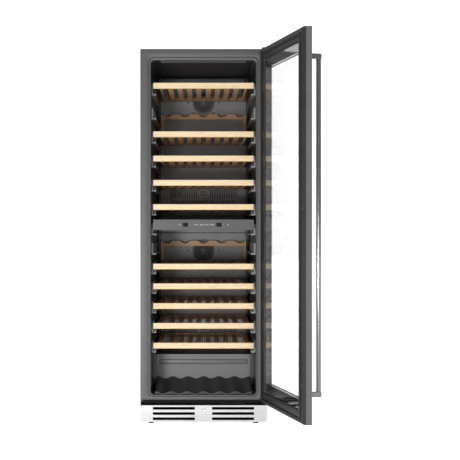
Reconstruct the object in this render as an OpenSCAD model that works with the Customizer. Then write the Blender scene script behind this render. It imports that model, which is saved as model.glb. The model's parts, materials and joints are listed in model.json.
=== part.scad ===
// Built-in wine cooler with two temperature zones, ten sliding beech shelves and a glass door.
// The door stands open at rest. The origin is on the floor, in the middle of the width,
// in the plane of the cabinet's front. +Z is up, +Y runs from front to back, +X to the hinges.

/* [Cabinet] */
// Width of the cabinet
cab_w = 595; // [590:1:598]
// Depth of the cabinet behind its front plane
cab_d = 630; // [620:1:640]
// Height of the cabinet's top above the floor
cab_h = 1765; // [1762:1:1770]
// Clearance under the cabinet
foot_h = 17; // [15:1:20]
// Width of the front frame's face at the sides and the top
rail_w = 37; // [34:1:40]
// Thickness of the outer steel sheet
sheet_t = 1.2; // [1:0.1:1.4]

/* [Cavity] */
// Width between the liner's side walls
cavity_w = 494; // [492:1:496]
// Height of the liner's floor
floor_z = 141; // [139:1:143]
// Height of the liner's ceiling
ceiling_z = 1712; // [1710:1:1716]
// Depth of the liner's back wall
back_y = 570; // [568:1:572]
// Wall thickness of the liner
liner_t = 3; // [2:0.5:3]
// Front of the step over the machine bay
step_y = 281; // [280:1:284]
// Top of the step over the machine bay
step_z = 300; // [298:1:302]

/* [Shelves] */
// Length of a shelf's front trim
trim_w = 472; // [468:1:474]
// Height of a shelf's front trim
trim_h = 26.5; // [25:0.5:28]
// Centre height of the lowest shelf level in the upper zone
upper_z = 1022.5; // [1020:0.5:1025]
// Distance between shelf levels in the upper zone
upper_pitch = 114.2; // [113:0.1:115]
// Centre height of the lowest shelf level in the lower zone
lower_z = 370.4; // [369:0.1:372]
// Distance between shelf levels in the lower zone
lower_pitch = 93.1; // [92.5:0.1:93.5]
// Half the width of the shelf behind its trim
shelf_half = 221; // [219:1:222]

/* [Door] */
// Angle at which the door rests open
door_open = 104.2; // [90:0.1:110]
// Thickness of the door with its gasket
door_t = 48; // [47:1:50]
// Height of the door's lower edge
door_z0 = 105; // [104:1:107]
// Height of the door's upper edge
door_z1 = 1763; // [1760:1:1763]
// Width of the steel frame's sides
side_w = 64; // [60:1:66]
// Height of the steel frame's top and bottom bars
bar_h = 96; // [90:1:98]
// Distance of the handle's axis from the door's face
handle_reach = 38; // [36:1:44]

/* [Hidden] */
$fn = 48;
half = cab_w / 2;
inner = half - sheet_t;
frame_t = 14;
back_t = 1;
cavity_half = cavity_w / 2;
liner_half = cavity_half + liner_t;
liner_r = 18;
bay_y = 325;
bay_z = 255;
foam_z = 117;
pocket_half = 215;
pocket_y = 600;

// The zone divider and the control panel in front of it
divider_z = [917, 961];
panel_z = [914.7, 963.6];
panel_y = 6;
panel_half = 237;

// Fans: height on the back wall, opening radius, depth behind the duct panel's face
duct_y = 548;
duct_half = 223;
fan_z = [1575, 808];
fan_r = 50;
duct_z = [[982, 1699], [303, 898]];
vent_z = [1036, 320];

// Machine bay
bay_fan = [150, 130];
bay_fan_r = 72;
compressor_at = [-150, 480];
cord_at = [230, 75];

// Shelf levels: the numbers of the levels that carry a shelf, from the top down
UPPER_SHELVES = [5, 3, 2, 1, 0];
LOWER_SHELVES = [4, 3, 2, 1, 0];
UPPER_LEVELS = 6;
LOWER_LEVELS = 7;
level_zs = concat([for (i = [0:UPPER_LEVELS - 1]) upper_z + i * upper_pitch],
                  [for (i = [0:LOWER_LEVELS - 1]) lower_z + i * lower_pitch]);
shelf_zs = concat([for (i = UPPER_SHELVES) upper_z + i * upper_pitch],
                  [for (i = LOWER_SHELVES) lower_z + i * lower_pitch]);
SHELVES = len(shelf_zs);
rack_shelves = [2, 6];
rack_tops = [148, 116];
trim_y = [7, 27];
rear_rail_y = [515, 540];
slat_w = 23.6;
slat_xs = [22.9, 67.3, 111.9, 156.7];
// Support rail, measured from the middle of the shelf's trim
foot_z = [-39.2, -31.6];
leg_top = 15.8;
rail_y = [65, 560];
channel_y = [70, 555];
channel_z = [-31.6, -16];

// Door hinge axis and the door's layers from front to back, with the door shut
pivot = [half - 12.4, -23.8];
pin_r = 5;
bore_r = 5.05;
skin_y = [-door_t, -21.5];
pane_y = [3 - door_t, 7 - door_t];
rear_pane_y = [-15.4, -11.4];
inner_frame_y = -5.7;
seal_y = -0.6;
seal_half = 274.5;
seal_z = [118, 1740];
seal_w = 13;
glass_inset = 52;
lip_inset = 58;
handle_x = -half + 28;
handle_z = [217, 1653];
handle_r = 10.5;

// Grille and lock
grille_z = [foot_h, 95];
grille_y = -24;
slot_zs = [32.5, 56.8, 81.1];
lock_z = 78;
cam_slot_y = [-20.5, -15];

// A box between two limits on each axis
module slab(x, y, z) {
    translate([x[0], y[0], z[0]]) cube([x[1] - x[0], y[1] - y[0], z[1] - z[0]]);
}

// A box as wide to the left as to the right
module wide(h, y, z) {
    slab([-h, h], y, z);
}

// Stands a drawing of width and height upright and gives it a depth
module upright(y) {
    translate([0, y[1], 0]) rotate([90, 0, 0]) linear_extrude(y[1] - y[0]) children();
}

// A rectangle, centred across, with round corners
module rounded(h, z, r) {
    translate([-h + r, z[0]]) square([2 * (h - r), z[1] - z[0]]);
    translate([-h, z[0] + r]) square([2 * h, z[1] - z[0] - 2 * r]);
    for (x = [-h + r, h - r], c = [z[0] + r, z[1] - r])
        translate([x, c]) circle(r);
}

// A rectangle, centred across
module plain(h, z) {
    translate([-h, z[0]]) square([2 * h, z[1] - z[0]]);
}

// A round bar along the depth
module bar_y(x, z, y, r) {
    translate([x, y[1], z]) rotate([90, 0, 0]) cylinder(h = y[1] - y[0], r = r);
}

// A pipe through a list of points, with round elbows
module pipe(route, r) {
    for (i = [0:len(route) - 2]) {
        d = route[i + 1] - route[i];
        translate(route[i]) rotate([0, acos(d[2] / norm(d)), atan2(d[1], d[0])])
            cylinder(h = norm(d), r = r);
    }
    for (i = [1:len(route) - 2])
        translate(route[i]) sphere(r);
}

// ---- Cabinet ----

module outer_shell() {
    color("dimgray") difference() {
        wide(half, [frame_t, cab_d - back_t], [foot_h, cab_h]);
        wide(inner, [0, cab_d], [0, cab_h - sheet_t]);
    }
}

module back_panel() {
    louvre_w = 90;
    color("gray") difference() {
        wide(inner, [cab_d - back_t, cab_d], [foot_h, cab_h - sheet_t]);
        for (x = [-160, 0, 160], z = [60:18:220])
            slab([x - louvre_w / 2, x + louvre_w / 2], [cab_d - 2, cab_d + 1], [z, z + 6]);
        bar_y(cord_at[0], cord_at[1], [cab_d - 2, cab_d + 1], 8.1);
    }
}

// The bush where the power lead leaves the back panel; the lead itself isn't part of the object
module cord_gland() {
    color("#222222") difference() {
        union() {
            bar_y(cord_at[0], cord_at[1], [cab_d - 12, cab_d + 6], 8);
            bar_y(cord_at[0], cord_at[1], [cab_d, cab_d + 3], 12);
            bar_y(cord_at[0], cord_at[1], [cab_d - 7, cab_d - back_t], 11, $fn = 6);
        }
        bar_y(cord_at[0], cord_at[1], [cab_d - 13, cab_d + 7], 4);
    }
}

module base_plate() {
    beam_y = [20, 50];
    color("dimgray") difference() {
        union() {
            wide(inner, [20, cab_d - back_t], [foot_h, foot_h + 2.5]);
            wide(inner, beam_y, [98, foam_z]);
            for (s = [0, 1]) mirror([s, 0, 0])
                slab([inner - 6, inner], beam_y, [foot_h, 98]);
        }
        feet_at() translate([0, 0, foot_h - 1]) cylinder(h = 10, r = 5.1);
    }
}

// The frame's flat face, and the lower lip that leads into the liner
module front_frame() {
    color("gray") {
        difference() {
            upright([0, frame_t]) plain(half, [110, cab_h]);
            upright([-1, frame_t - 6]) rounded(half - rail_w, [134, cab_h - rail_w], 26);
            upright([-1, frame_t + 1]) rounded(cavity_half, [floor_z, ceiling_z], liner_r);
            wide(286, [-1, frame_t + 1], [100, 117]);
        }
    }
}

module liner_solid() {
    wide(liner_half, [frame_t, back_y + liner_t], [step_z - liner_t, ceiling_z + liner_t]);
    wide(liner_half, [frame_t, step_y + liner_t], [floor_z - liner_t, step_z]);
    for (d = duct_z)
        wide(pocket_half + liner_t, [back_y, pocket_y + liner_t], [d[0] + 8, d[1] - 6]);
}

module liner() {
    color("dimgray") difference() {
        liner_solid();
        difference() {
            upright([frame_t - 1, back_y]) rounded(cavity_half, [floor_z, ceiling_z], liner_r);
            wide(half, [step_y, cab_d], [0, step_z]);
        }
        for (d = duct_z)
            wide(pocket_half, [back_y - 1, pocket_y], [d[0] + 8 + liner_t, d[1] - 6 - liner_t]);
    }
}

module insulation() {
    color("khaki") difference() {
        wide(inner, [frame_t, cab_d - back_t], [foam_z, cab_h - sheet_t]);
        liner_solid();
        wide(half, [bay_y, cab_d], [0, bay_z]);
    }
}

module kick_grille() {
    slot_half = 98;
    slot_x = 138.3;
    color("gainsboro") difference() {
        wide(half, [grille_y, frame_t], grille_z);
        wide(half - sheet_t, [grille_y + sheet_t, frame_t + 1], [0, grille_z[1] - sheet_t]);
        for (x = [-slot_x, slot_x], z = slot_zs)
            slab([x - slot_half, x + slot_half], [grille_y - 1, grille_y + 2], [z - 6, z + 6]);
        bar_y(0, lock_z, [grille_y - 1, grille_y + 2], 9.6);
        slab([-9, 38], cam_slot_y, [grille_z[1] - 2, grille_z[1] + 1]);
    }
}

module lock_barrel() {
    color("silver") difference() {
        union() {
            bar_y(0, lock_z, [grille_y - 1.5, grille_y], 11.5);
            bar_y(0, lock_z, [grille_y, -20.4], 9.5);
        }
        bar_y(0, lock_z, [grille_y - 2, -20], 7.05);
    }
}

// The key plug and the cam behind it; the cam rises into the door's slot when it is turned
module lock_plug() {
    cam_l = 36;
    color("darkgray") {
        difference() {
            bar_y(0, lock_z, [grille_y - 1.2, -19], 7);
            wide(0.8, [grille_y - 2, grille_y + 1], [lock_z - 4, lock_z + 4]);
        }
        slab([-5, cam_l], [-19, -16.5], [lock_z - 4, lock_z + 4]);
    }
}

module feet_at() {
    for (x = [-half + 49.5, half - 49.5], y = [45, cab_d - 45])
        translate([x, y, 0]) children();
}

module levelling_feet() {
    color("dimgray") feet_at() {
        cylinder(h = 8, r = 13.5);
        cylinder(h = 12, r = 9, $fn = 6);
        cylinder(h = 34, r = 5);
    }
}

// A hinge plate that reaches forward from the cabinet, with its pin
module hinge(side, back, z_plate, z_pin) {
    slab([pivot[0] - 20, side], [pivot[1], back], z_plate);
    translate([pivot[0], pivot[1], z_plate[0]]) cylinder(h = z_plate[1] - z_plate[0], r = 12);
    translate([pivot[0], pivot[1], z_pin[0]]) cylinder(h = z_pin[1] - z_pin[0], r = pin_r);
}

module top_hinge() {
    color("dimgray") hinge(half - 1, 60, [cab_h, cab_h + 4], [cab_h - 22, cab_h + 4]);
}

module bottom_hinge() {
    side = inner - 0.5;
    color("dimgray") {
        hinge(side, 19.9, [98, 102], [98, 127]);
        slab([pivot[0] - 20, side], [16, 19.9], [98, 109]);
    }
}

// ---- Zone divider and controls ----

module zone_divider() {
    color("dimgray") {
        wide(panel_half + 2, [22, 545], divider_z);
        wide(222, [540, 547.5], [900, 980]);
    }
}

module window_holes(y) {
    for (x = [-84, 73])
        slab([x - 12.5, x + 12.5], y, [930, 948]);
}

module control_panel() {
    wall = 2;
    color("gray") difference() {
        wide(panel_half, [panel_y, 22], panel_z);
        wide(panel_half - wall, [panel_y + 2.5, 23], [panel_z[0] + wall, panel_z[1] - wall]);
        window_holes([panel_y - 1, panel_y + 4]);
    }
}

module display_windows() {
    color("black") window_holes([panel_y + 0.2, panel_y + 2.5]);
}

module control_board() {
    color("green") {
        wide(140, [16, 17.6], [924, 955]);
        for (x = [-84, 73])
            slab([x - 11, x + 11], [9, 16], [931, 947]);
        slab([-30, -12], [13, 16], [932, 944]);
    }
}

// ---- Air ducts and fans ----

// A row of upright air slots
module slots(xs, z) {
    for (x = xs)
        slab([x - 2.75, x + 2.75], [duct_y - 1, duct_y + 3], z);
}

module duct_panel(z, fan, vent) {
    pitch = 12.1;
    color("dimgray") difference() {
        union() {
            upright([duct_y, duct_y + 2]) {
                rounded(duct_half, [z[1] - 80, z[1]], 28);
                plain(duct_half, [z[0], z[1] - 60]);
            }
            for (s = [0, 1]) mirror([s, 0, 0])
                slab([duct_half - 2, duct_half], [duct_y, back_y], [z[0], z[1] - 28]);
        }
        bar_y(0, fan, [duct_y - 1, duct_y + 3], fan_r);
        slots([for (i = [0:11], s = [-1, 1]) s * (36 + i * pitch)], [vent + 46, vent + 106]);
        slots([for (i = [0:27]) (i - 13.5) * pitch], [vent, vent + 31]);
        for (x = [-13.5, -4.5, 4.5, 13.5], h = [58, 72])
            slab([x - 3, x + 3], [duct_y - 1, duct_y + 3], [vent + h, vent + h + 7]);
    }
}

// A fan's round housing, the motor's seat and the guard in front of the rotor
module fan_frame(x, z, y, r) {
    depth = 46;
    guard = 2.4;
    translate([x, y, z]) {
        difference() {
            union() {
                bar_y(0, 0, [2, depth], r + 4);
                bar_y(0, 0, [-guard, 0], r + 8);
                bar_y(0, 0, [0, 2], r - 0.2);
            }
            bar_y(0, 0, [-guard - 1, depth + 1], r - 2);
        }
        bar_y(0, 0, [-guard, -0.4], 9);
        for (a = [45, 135]) rotate([0, a, 0])
            slab([-r + 1, r - 1], [-guard, -0.4], [-1.2, 1.2]);
        for (ring = [0.4, 0.6, 0.8]) difference() {
            bar_y(0, 0, [-guard, -1], r * ring);
            bar_y(0, 0, [-guard - 1, 0], r * ring - 1.4);
        }
        difference() {
            union() {
                bar_y(0, 0, [depth - 14, depth], 17);
                for (a = [0, 90]) rotate([0, a, 0])
                    slab([-r + 1, r - 1], [depth - 5, depth], [-3, 3]);
            }
            bar_y(0, 0, [depth - 15, depth - 4], 2.55);
        }
    }
}

// A fan's hub, shaft and blades
module fan_rotor(x, z, y, r) {
    blades = 7;
    translate([x, y, z]) {
        bar_y(0, 0, [6, 31], 17);
        bar_y(0, 0, [31, 41], 2.5);
        for (a = [0:360 / blades:359]) rotate([0, a, 0])
            translate([14, 18, 0]) rotate([35, 0, 0])
                slab([0, r - 18], [-0.8, 0.8], [-r / 5, r / 5]);
    }
}

module fan_frames() {
    color("#333333") {
        for (z = fan_z) fan_frame(0, z, duct_y, fan_r);
        fan_frame(bay_fan[0], bay_fan[1], 430, bay_fan_r);
        slab([bay_fan[0] - 60, bay_fan[0] + 60], [440, 470], [foot_h + 2.5, bay_fan[1] - bay_fan_r]);
    }
}

module evaporators() {
    fins = 20;
    fin_pitch = 18;
    color("silver") for (z = [1150, 450]) {
        for (i = [0:fins - 1]) {
            x = (i - (fins - 1) / 2) * fin_pitch;
            slab([x - 0.4, x + 0.4], [573, 597], [z, z + 280]);
        }
        for (h = [30:55:250]) translate([-190, 585, z + h])
            rotate([0, 90, 0]) cylinder(h = 380, r = 4);
    }
}

// ---- Machine bay ----

module compressor() {
    at = [compressor_at[0], compressor_at[1], 0];
    color("#222222") translate(at) {
        translate([0, 0, 33]) cylinder(h = 120, r = 68);
        translate([0, 0, 153]) cylinder(h = 20, r1 = 68, r2 = 42);
        wide(80, [-80, 80], [30, 33]);
        for (x = [-66, 66], y = [-66, 66])
            translate([x, y, foot_h + 2.5]) cylinder(h = 12, r = 9);
        slab([60, 84], [-22, 22], [70, 120]);
    }
}

module condenser() {
    fins = 16;
    fin_pitch = 11;
    color("#2a2a2a") for (i = [0:fins - 1]) {
        x = bay_fan[0] + (i - (fins - 1) / 2) * fin_pitch;
        slab([x - 0.5, x + 0.5], [360, 410], [45, 225]);
    }
    color("#2a2a2a") for (h = [60:30:210], y = [373, 397])
        translate([bay_fan[0] - 92, y, h]) rotate([0, 90, 0]) cylinder(h = 184, r = 4);
    color("#2a2a2a") for (x = [-88, 88])
        slab([bay_fan[0] + x - 1, bay_fan[0] + x + 1], [356, 414], [foot_h + 2.5, 225]);
}

module refrigerant_pipes() {
    at = compressor_at;
    color("peru") {
        pipe([[at[0] + 20, at[1], 165], [at[0] + 20, at[1], 235], [at[0] + 20, 397, 235],
              [40, 397, 235], [40, 397, 210], [bay_fan[0] - 92, 397, 210]], 3);
        pipe([[bay_fan[0] - 92, 373, 60], [30, 373, 60], [30, 373, 250]], 3);
        pipe([[at[0] - 20, at[1], 165], [at[0] - 20, at[1], 250]], 4);
    }
}

// ---- Fittings inside the cavity ----

// Height of the tray's rippled surface above its mean; one hollow for each bottle
function ripple(x) = 5.5 * cos(360 * x / 76);

module bottle_tray() {
    tray_half = 228;
    step = 6;
    thick = 2.5;
    slope = 7.2;
    front_z = 150.5;
    top = [for (x = [-tray_half:step:tray_half]) [x, ripple(x)]];
    under = [for (x = [tray_half:-step:-tray_half]) [x, ripple(x) - thick]];
    color("#2e2e2e") {
        translate([0, 10, front_z]) rotate([slope, 0, 0])
            upright([0, 268]) polygon(concat(top, under));
        translate([0, 0, front_z])
            upright([9, 12]) polygon(concat(top, [[tray_half, -9.5], [-tray_half, -9.5]]));
    }
}

module machine_cover() {
    color("dimgray") difference() {
        upright([277.5, 280.5]) plain(231, [176, 299]);
        difference() {
            upright([277, 278.5]) rounded(221, [249, 274], 12.4);
            upright([276, 279]) rounded(218.5, [251.5, 271.5], 9.9);
        }
    }
}

module light_bars() {
    color("white") {
        wide(200, [30, 44], [ceiling_z - 6, ceiling_z - 0.5]);
        wide(200, [40, 54], [divider_z[0] - 5, divider_z[0]]);
    }
}

// One pair of L-shaped rails for each shelf level
module support_rails() {
    color("silver") for (z = level_zs, s = [0, 1]) mirror([s, 0, 0]) translate([0, 0, z]) {
        slab([225, cavity_half], rail_y, foot_z);
        slab([240, cavity_half], rail_y, [foot_z[1], leg_top]);
    }
}

// The fixed halves of the telescopic slides, one pair for each shelf
module slide_channels() {
    color("#222222") for (z = shelf_zs, s = [0, 1]) mirror([s, 0, 0]) translate([0, 0, z])
        difference() {
            slab([228, 239], channel_y, channel_z);
            slab([227, 236], [channel_y[0] - 1, channel_y[1] + 1],
                 [channel_z[0] + 4, channel_z[1] - 4]);
        }
}

// ---- Shelves ----

// A beech shelf: front trim, side rails, rear rail and eight slats that carry the bottles,
// each a separate stick with a hairline joint
module shelf(n) {
    joint = 0.1;
    slat_y = [trim_y[1] + joint, rear_rail_y[0] - joint];
    color("burlywood") translate([0, 0, shelf_zs[n - 1]]) {
        wide(trim_w / 2, trim_y, [-trim_h / 2, trim_h / 2]);
        wide(shelf_half, rear_rail_y, [-trim_h / 2, trim_h / 2]);
        for (s = [0, 1]) mirror([s, 0, 0]) {
            slab([199, shelf_half], slat_y, [-12, 6]);
            for (x = slat_xs)
                slab([x - slat_w / 2, x + slat_w / 2], slat_y, [-12, 0]);
        }
    }
}

// The moving halves of a shelf's telescopic slides
module runners(n) {
    y = [40, 540];
    color("#1c1c1c") for (s = [0, 1]) mirror([s, 0, 0]) translate([0, 0, shelf_zs[n - 1]]) {
        slab([205, 227], [trim_y[1] + 1, 512], [-14.4, -12]);
        slab([224.6, 227], [trim_y[1] + 1, y[1]], [-27, -12]);
        slab([227, 235.4], [channel_y[0] + 4, y[1]], [channel_z[0] + 4.6, channel_z[1] - 4.6]);
    }
}

// A raised rail on a shelf's rear rail, with a slanted hollow for each bottle's neck
module display_rack(i) {
    y = [518, 538];
    z0 = shelf_zs[rack_shelves[i] - 1];
    bar = [z0 + rack_tops[i] - 28, z0 + rack_tops[i]];
    color("peru") difference() {
        union() {
            wide(shelf_half, y, bar);
            for (s = [0, 1]) mirror([s, 0, 0])
                slab([205, shelf_half], y, [z0 + trim_h / 2, bar[0]]);
        }
        for (x = [-190:95:190]) translate([x, y[0], bar[1] + 20]) rotate([27, 0, 0])
            bar_y(0, 0, [-30, 60], 32);
    }
}

// ---- Door: drawn shut, then swung open about the hinge axis ----

module swung_open() {
    translate([pivot[0], pivot[1], 0]) rotate([0, 0, door_open])
        translate([-pivot[0], -pivot[1], 0]) children();
}

// The door's outline, drawn in from every edge by the same amount
module door_outline(inset) {
    plain(half - inset, [door_z0 + inset, door_z1 - inset]);
}

// The outline of the window, drawn out from every edge by the same amount
module window_outline(more) {
    plain(half - side_w + more, [door_z0 + bar_h - more, door_z1 - bar_h + more]);
}

module pin_bores() {
    for (z = [door_z0 - 2, door_z1 - 24])
        translate([pivot[0], pivot[1], z]) cylinder(h = 26, r = bore_r);
}

// The folded steel skin of the door's frame
module door_frame() {
    hem = 1.8;
    color("silver") swung_open() difference() {
        upright(skin_y) door_outline(0);
        upright([skin_y[0] - 1, skin_y[1] + 1]) window_outline(0);
        upright([skin_y[0] + sheet_t, skin_y[1] + 1]) difference() {
            door_outline(sheet_t);
            window_outline(sheet_t);
        }
        upright([skin_y[0] + sheet_t + hem, skin_y[1] + 1]) window_outline(2 * sheet_t);
        pin_bores();
    }
}

// The plastic frame that holds the glazing and the gasket, with a slot for the lock's cam
module door_inner_frame() {
    gap = 0.2;
    color("#3a3a3a") swung_open() difference() {
        union() {
            upright([skin_y[0] + sheet_t + gap, rear_pane_y[1]]) difference() {
                door_outline(sheet_t + gap);
                door_outline(glass_inset - gap);
            }
            upright([rear_pane_y[1], inner_frame_y]) difference() {
                door_outline(4);
                door_outline(lip_inset);
            }
        }
        slab([-10, 24], cam_slot_y, [door_z0, 118]);
        pin_bores();
    }
}

module door_glass() {
    color("lightblue", 0.4) swung_open() {
        upright(pane_y) door_outline(glass_inset);
        upright(rear_pane_y) door_outline(glass_inset);
    }
}

// The dark border between the panes
module glass_spacer() {
    color("black") swung_open() upright([pane_y[1], rear_pane_y[0]]) difference() {
        door_outline(glass_inset + 2);
        window_outline(-4);
    }
}

module door_gasket() {
    color("#222222") swung_open() upright([inner_frame_y, seal_y]) difference() {
        plain(seal_half, seal_z);
        plain(seal_half - seal_w, [seal_z[0] + seal_w, seal_z[1] - seal_w]);
    }
}

module door_handle() {
    axis_y = -door_t - handle_reach;
    post_h = 22.5;
    color("silver") swung_open() {
        translate([handle_x, axis_y, handle_z[0] + post_h])
            cylinder(h = handle_z[1] - handle_z[0] - 2 * post_h, r = handle_r);
        for (z = [handle_z[0], handle_z[1] - post_h])
            slab([handle_x - handle_r, handle_x + handle_r], [axis_y - handle_r, -door_t],
                 [z, z + post_h]);
    }
}

outer_shell();
back_panel();
base_plate();
front_frame();
liner();
insulation();
kick_grille();
lock_barrel();
lock_plug();
levelling_feet();
top_hinge();
bottom_hinge();
zone_divider();
control_panel();
display_windows();
control_board();
duct_panel(duct_z[0], fan_z[0], vent_z[0]);  // duct_panel_upper
duct_panel(duct_z[1], fan_z[1], vent_z[1]);  // duct_panel_lower
fan_frames();
color("#222222") fan_rotor(0, fan_z[0], duct_y, fan_r);  // fan_rotor_upper
color("#222222") fan_rotor(0, fan_z[1], duct_y, fan_r);  // fan_rotor_lower
evaporators();
compressor();
condenser();
color("#333333") fan_rotor(bay_fan[0], bay_fan[1], 430, bay_fan_r);  // condenser_fan_rotor
refrigerant_pipes();
cord_gland();
bottle_tray();
machine_cover();
light_bars();
support_rails();
slide_channels();
display_rack(0);  // display_rack_upper
display_rack(1);  // display_rack_lower
for (n = [1:SHELVES]) {
    shelf(n);
    runners(n);
}
door_frame();
door_inner_frame();
door_glass();
glass_spacer();
door_gasket();
door_handle();
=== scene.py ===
"""Wine cooler with an open glass door: detailed pieces and materials around the CAD frame.

The cooler's lengths are in millimetres until Shape.piece() turns them into metres; the floor,
the lamps and the camera are placed in metres. The door's pieces are drawn shut and then swung
open about the hinge, as the CAD's are.
"""
import json
import math

import bmesh
import bpy
from mathutils import Matrix, Vector


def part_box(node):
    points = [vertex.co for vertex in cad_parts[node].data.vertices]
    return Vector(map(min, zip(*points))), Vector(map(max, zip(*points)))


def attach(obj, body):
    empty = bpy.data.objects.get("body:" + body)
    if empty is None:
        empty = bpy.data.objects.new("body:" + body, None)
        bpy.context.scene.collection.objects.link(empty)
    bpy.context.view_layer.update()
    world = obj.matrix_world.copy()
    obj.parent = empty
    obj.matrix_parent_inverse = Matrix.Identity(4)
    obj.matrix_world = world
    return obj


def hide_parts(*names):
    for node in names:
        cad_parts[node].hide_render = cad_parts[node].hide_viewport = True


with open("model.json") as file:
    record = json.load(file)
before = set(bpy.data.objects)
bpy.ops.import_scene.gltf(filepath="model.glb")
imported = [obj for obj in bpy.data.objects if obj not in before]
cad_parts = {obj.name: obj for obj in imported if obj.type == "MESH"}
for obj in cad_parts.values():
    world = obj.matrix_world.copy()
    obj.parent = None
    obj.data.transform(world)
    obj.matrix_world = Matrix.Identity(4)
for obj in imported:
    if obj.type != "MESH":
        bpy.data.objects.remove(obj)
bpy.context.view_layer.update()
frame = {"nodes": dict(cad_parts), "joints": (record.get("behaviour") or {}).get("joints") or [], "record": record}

MM = 0.001
NODES = frame["nodes"]
JOINTS = {j["name"]: j for j in frame["joints"]}
SLOT_OF = {s["node"]: s["material_slot"] for s in frame["record"]["subparts"]}


def box_mm(node):
    """A CAD node's lowest and highest corner, in millimetres."""
    low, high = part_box(node)
    return low / MM, high / MM


# ---------------------------------------------------------------- materials

# Most of a noise texture's values lie between these two.
NOISE_LOW, NOISE_HIGH = 0.3, 0.7
EVEN = (1, 1, 1)


def new_material(name, rough, metal=0.0, **sockets):
    """A new Principled material and its shader; extra values go to the sockets they name."""
    material = bpy.data.materials.new(name)
    material.use_nodes = True
    shader = material.node_tree.nodes["Principled BSDF"]
    shader.inputs["Roughness"].default_value = rough
    shader.inputs["Metallic"].default_value = metal
    for socket, value in sockets.items():
        shader.inputs[socket.replace("_", " ")].default_value = value
    return material, shader


def node(owner, kind, **values):
    """Adds a node; plain attributes are set on it, and names of sockets on its inputs."""
    made = owner.node_tree.nodes.new(kind)
    for key, value in values.items():
        if hasattr(made, key):
            setattr(made, key, value)
        else:
            made.inputs[key.replace("_", " ")].default_value = value
    return made


def link(owner, source, target):
    owner.node_tree.links.new(source, target)


def noise(material, stretch, scale, detail=3.0, rough=0.55):
    """Noise in object space, stretched by a factor on each axis."""
    where = node(material, "ShaderNodeTexCoord")
    mapping = node(material, "ShaderNodeMapping")
    mapping.inputs["Scale"].default_value = stretch
    texture = node(material, "ShaderNodeTexNoise", Scale=scale, Detail=detail, Roughness=rough)
    link(material, where.outputs["Object"], mapping.inputs["Vector"])
    link(material, mapping.outputs["Vector"], texture.inputs["Vector"])
    return texture.outputs["Fac"]


def ramp(material, source, stops):
    """A colour ramp; stops are (position, colour)."""
    made = node(material, "ShaderNodeValToRGB")
    elements = made.color_ramp.elements
    while len(elements) < len(stops):
        elements.new(0.5)
    for element, (position, colour) in zip(elements, stops):
        element.position = position
        element.color = (*colour, 1.0)
    link(material, source, made.inputs["Fac"])
    return made.outputs["Color"]


def spread(owner, source, low, high):
    """Maps the span of the noise to low..high, and what lies outside it to its nearer end."""
    made = node(owner, "ShaderNodeMapRange")
    ends = {"From Min": NOISE_LOW, "From Max": NOISE_HIGH, "To Min": low, "To Max": high}
    for socket, value in ends.items():
        made.inputs[socket].default_value = value
    link(owner, source, made.inputs["Value"])
    return made.outputs["Result"]


def tint(material, shader, source, first, last):
    """Colours a surface from the first colour to the last over the span of the noise."""
    colour = ramp(material, source, [(NOISE_LOW, first), (NOISE_HIGH, last)])
    link(material, colour, shader.inputs["Base Color"])


def bump(material, shader, source, strength, depth_mm):
    made = node(material, "ShaderNodeBump", Strength=strength, Distance=depth_mm * MM)
    link(material, source, made.inputs["Height"])
    link(material, made.outputs["Normal"], shader.inputs["Normal"])


def shade(colour, factor):
    return tuple(min(1.0, c * factor) for c in colour)


def moulded(name, colour, rough=0.45, grain=700.0, depth=0.05, vary=0.06, shine=0.5):
    """Moulded or powder-coated surface: a fine grain, slight unevenness of tone and gloss."""
    material, shader = new_material(name, rough, Specular_IOR_Level=shine)
    tone = noise(material, EVEN, 9.0)
    tint(material, shader, tone, shade(colour, 1 - vary), shade(colour, 1 + vary))
    fine = noise(material, EVEN, grain, 2.0)
    link(material, spread(material, fine, rough - 0.06, rough + 0.06), shader.inputs["Roughness"])
    bump(material, shader, fine, 0.35, depth)
    return material


def brushed(name, colour, along, rough=0.3, relief=0.06):
    """Brushed steel; along is the axis that the brush ran on."""
    stretch = [60.0, 60.0, 60.0]
    stretch[along] = 1.0
    material, shader = new_material(name, rough, metal=1.0, Anisotropic=0.35)
    lines = noise(material, stretch, 12.0, 4.0, 0.7)
    tint(material, shader, lines, shade(colour, 0.93), shade(colour, 1.05))
    link(material, spread(material, lines, rough - 0.07, rough + 0.09), shader.inputs["Roughness"])
    bump(material, shader, lines, relief, 0.03)
    return material


def wood(name, light, dark, along, rough=0.5):
    """Planed wood with its grain along one axis: broad figure, fine growth lines and pores."""
    wide, fine, pore = [22.0] * 3, [160.0] * 3, [420.0] * 3
    wide[along], fine[along], pore[along] = 1.2, 3.0, 16.0
    material, shader = new_material(name, rough)
    figure = noise(material, wide, 1.6, 3.0, 0.5)
    lines = noise(material, fine, 1.4, 4.0, 0.65)
    pores = noise(material, pore, 1.5, 2.0, 0.5)
    base = ramp(material, figure, [(0.25, shade(light, 0.93)), (0.5, light), (0.75, shade(light, 1.04))])
    grain = ramp(material, lines, [(0.35, dark), (0.52, light), (1.0, shade(light, 1.03))])
    mix = node(material, "ShaderNodeMix", data_type="RGBA", blend_type="MIX")
    mix.inputs["Factor"].default_value = 0.42
    link(material, base, mix.inputs["A"])
    link(material, grain, mix.inputs["B"])
    fleck = node(material, "ShaderNodeMix", data_type="RGBA", blend_type="MULTIPLY")
    fleck.inputs["Factor"].default_value = 0.55
    link(material, mix.outputs["Result"], fleck.inputs["A"])
    link(material, ramp(material, pores, [(0.30, (0.62, 0.5, 0.4)), (0.42, (1.0, 1.0, 1.0))]),
         fleck.inputs["B"])
    link(material, fleck.outputs["Result"], shader.inputs["Base Color"])
    link(material, spread(material, lines, rough + 0.08, rough - 0.06), shader.inputs["Roughness"])
    bump(material, shader, lines, 0.25, 0.12)
    return material


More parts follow.
